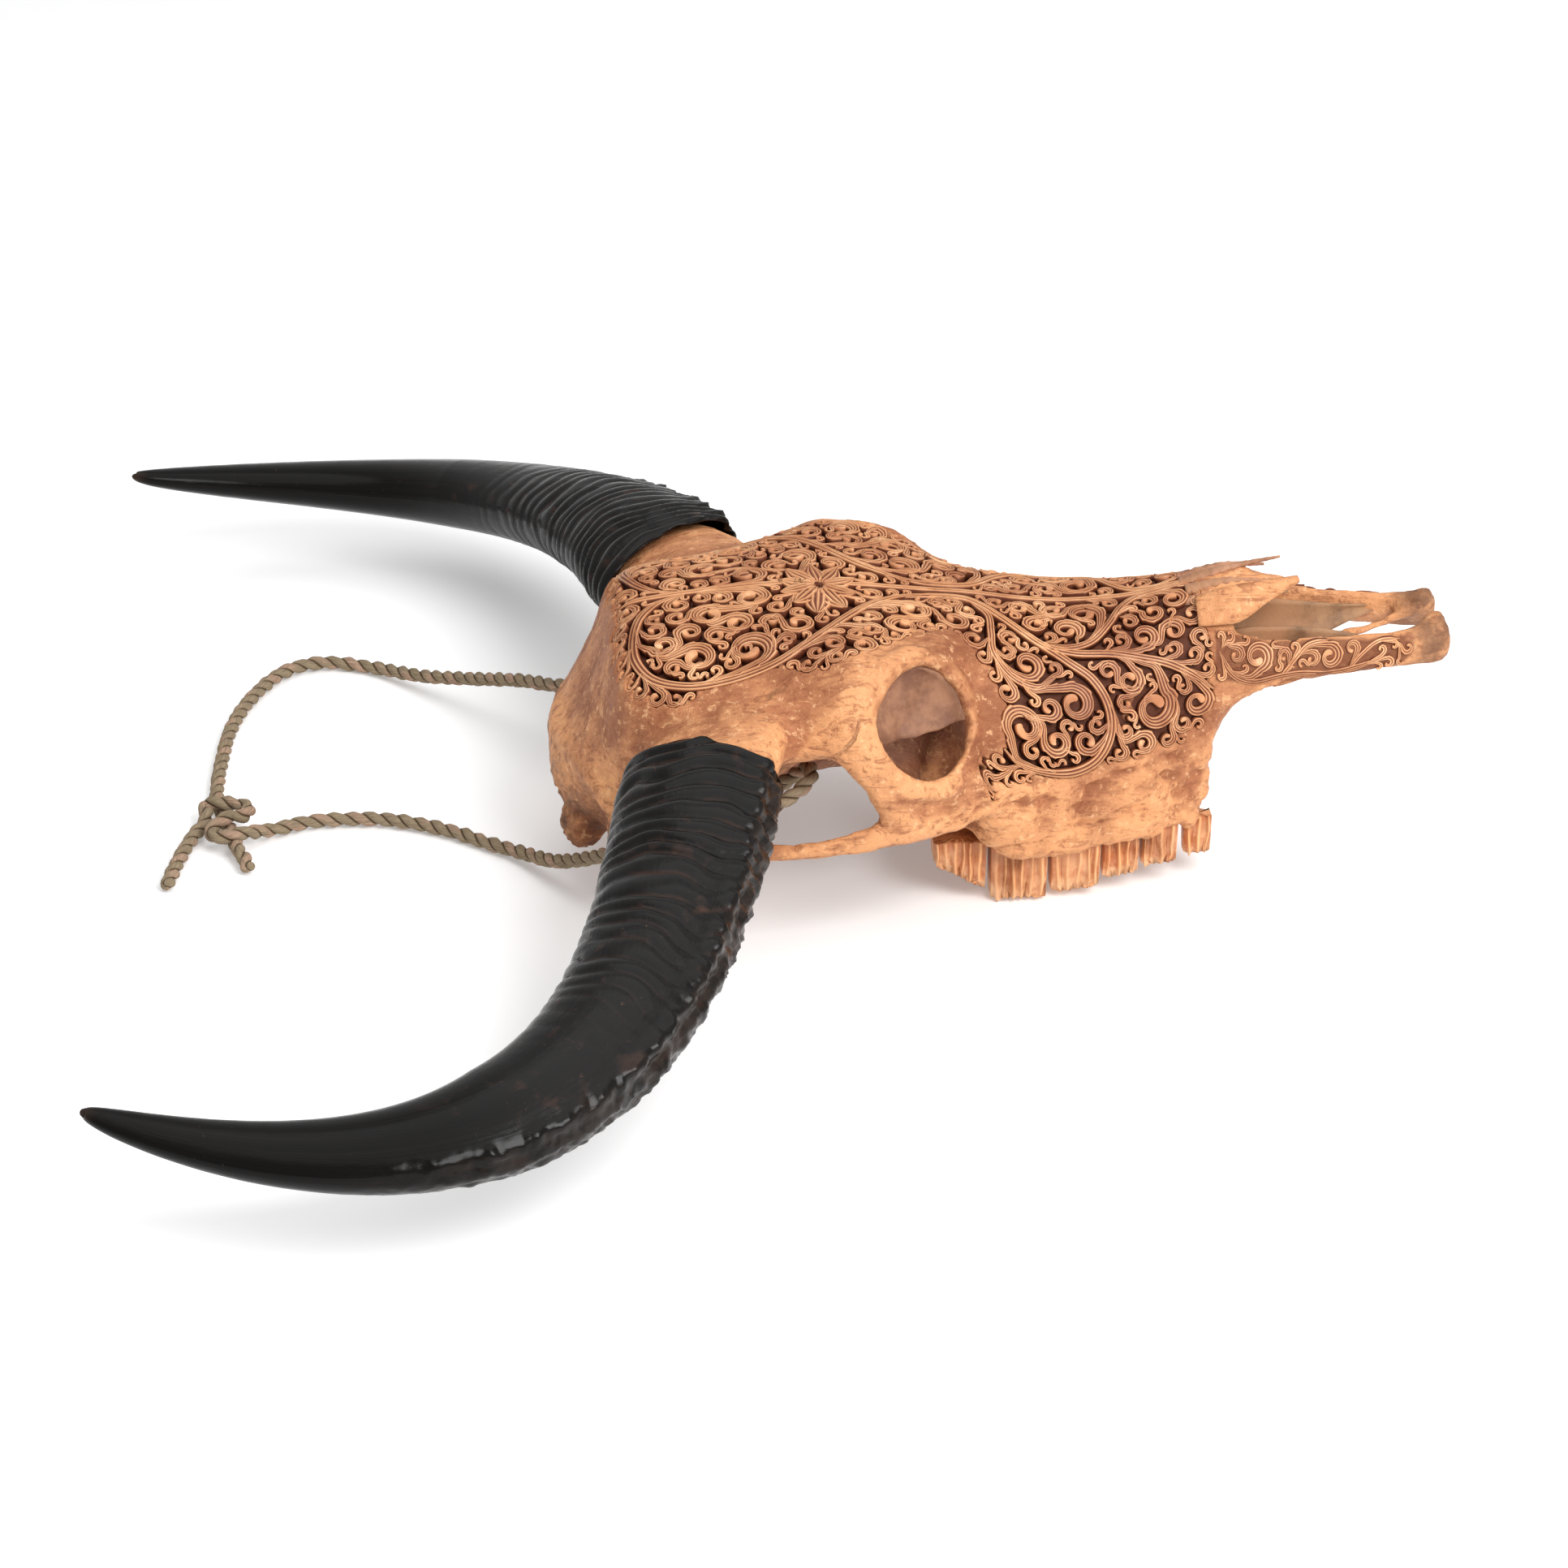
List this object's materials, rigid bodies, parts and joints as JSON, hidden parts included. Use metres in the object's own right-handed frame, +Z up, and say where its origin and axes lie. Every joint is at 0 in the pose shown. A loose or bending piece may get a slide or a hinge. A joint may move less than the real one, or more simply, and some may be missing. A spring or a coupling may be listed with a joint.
{
  "type": "water buffalo skull",
  "caption": "Carved water buffalo skull without its lower jaw, with two swept-back horns, cheek teeth and a knotted rope for hanging.",
  "frame": {"origin": "on the surface that the skull lies on, below the middle of its outline without the rope", "axes": "+X to the muzzle, +Y to the skull's left side, +Z up through the forehead"},
  "size_m": [0.704, 0.822, 0.1627],
  "materials": {
    "bone": "dry bone, stained orange brown, matt",
    "horn": "near-black horn, ridged and dull at the base, polished towards the point",
    "tooth": "stained enamel, satin",
    "rope": "rough twisted plant fibre"
  },
  "bodies": {
    "root": {"skull": "bone", "horn_sheath_left": "horn", "horn_sheath_right": "horn", "tooth_left_1": "tooth", "tooth_left_2": "tooth", "tooth_left_3": "tooth", "tooth_left_4": "tooth", "tooth_left_5": "tooth", "tooth_left_6": "tooth", "tooth_right_1": "tooth", "tooth_right_2": "tooth", "tooth_right_3": "tooth", "tooth_right_4": "tooth", "tooth_right_5": "tooth", "tooth_right_6": "tooth", "rope_near": "rope", "rope_far": "rope", "rope_knot": "rope", "rope_tail_long": "rope", "rope_tail_short": "rope"}
  },
  "joints": []
}
